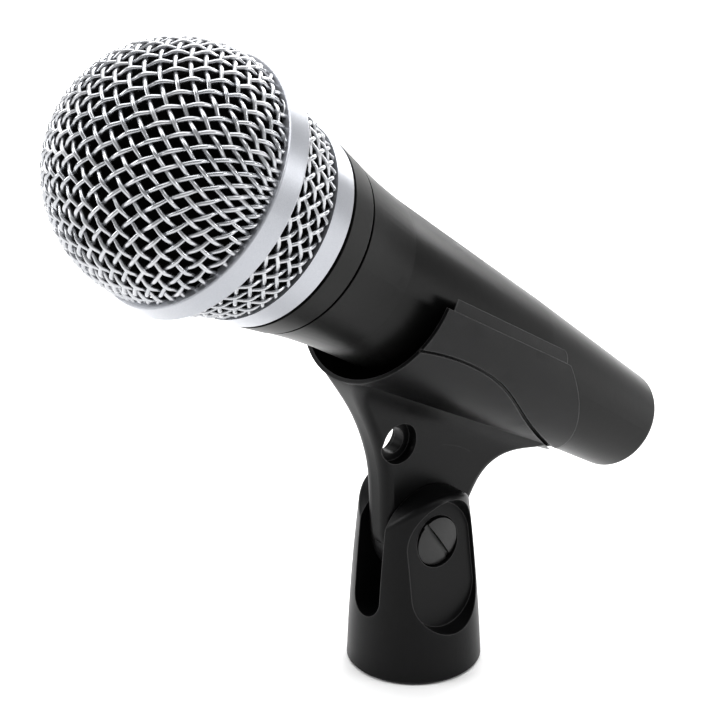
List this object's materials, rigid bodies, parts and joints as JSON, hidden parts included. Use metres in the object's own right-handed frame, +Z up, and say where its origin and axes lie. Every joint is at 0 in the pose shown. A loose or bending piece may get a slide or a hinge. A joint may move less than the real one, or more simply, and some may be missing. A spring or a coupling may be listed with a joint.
{
  "type": "handheld dynamic microphone with stand clip",
  "caption": "Handheld vocal microphone with a woven wire ball grille and slide switch, lying in a swivelling stand clip with a threaded foot.",
  "frame": {"origin": "centre of the stand thread at the foot of the clip, in the plane of the foot face", "axes": "+Z up along the stand thread, X along the clip pivot with the screw head at +X, -Y towards the grille"},
  "size_m": [0.053, 0.1499, 0.1468],
  "materials": {
    "black_paint": "satin",
    "black_band": "satin",
    "silver_paint": "satin",
    "silver_wire": "satin",
    "foam": "open-cell foam",
    "rubber": "matt",
    "capsule_plastic": "moulded",
    "capsule_cloth": "woven",
    "plated_steel": "zinc plated",
    "magnet_nickel": "nickel plated",
    "copper_coil": "enamelled copper",
    "diaphragm_film": "clear film",
    "black_plate": "satin",
    "black_screw": "blackened",
    "black_screw_large": "moulded head",
    "switch_plastic": "moulded",
    "connector_plastic": "moulded",
    "gold_contact": "gold plated",
    "lead_sleeve": "insulation",
    "clip_nylon": "satin moulded",
    "brass": "machined"
  },
  "bodies": {
    "stand_base": {"swivel_base": "clip_nylon", "thread_insert": "brass", "pivot_screw": "black_screw_large", "pivot_nut": "plated_steel"},
    "clip": {"clip_cradle": "clip_nylon"},
    "microphone": {"handle": "black_paint", "name_band": "black_band", "shock_mount": "rubber", "rear_chamber": "capsule_plastic", "capsule_terminals": "gold_contact", "magnet_yoke": "plated_steel", "magnet": "magnet_nickel", "pole_piece": "plated_steel", "voice_coil": "copper_coil", "diaphragm": "diaphragm_film", "capsule_frame": "capsule_plastic", "resonator_cap": "capsule_plastic", "capsule_cloth": "capsule_cloth", "switch_plate": "black_plate", "switch_screws": "black_screw", "switch_body": "switch_plastic", "connector_insert": "connector_plastic", "connector_pins": "gold_contact", "connector_set_screw": "black_screw", "capsule_leads": "lead_sleeve", "connector_leads": "lead_sleeve"},
    "grille": {"grille_collar": "silver_paint", "rear_grille_mesh": "silver_wire", "grille_band": "silver_paint", "front_grille_mesh": "silver_wire", "foam_liner": "foam"},
    "switch": {"switch_knob": "switch_plastic"}
  },
  "joints": [
    {"name": "clip_tilt", "type": "hinge", "parent": "stand_base", "child": "clip", "pos_m": [0, 0, 0.0303], "axis": [1, 0, 0], "range_deg": [-65, 90]},
    {"name": "mic_slide", "type": "slide", "parent": "clip", "child": "microphone", "axis": [0, -0.8218, 0.5697], "range_m": [0, 0.09]},
    {"name": "grille_off", "type": "slide", "parent": "microphone", "child": "grille", "axis": [0, -0.8218, 0.5697], "range_m": [0, 0.04]},
    {"name": "switch_slide", "type": "slide", "parent": "microphone", "child": "switch", "axis": [0, 0.7912, -0.6116], "range_m": [0, 0.004]}
  ]
}
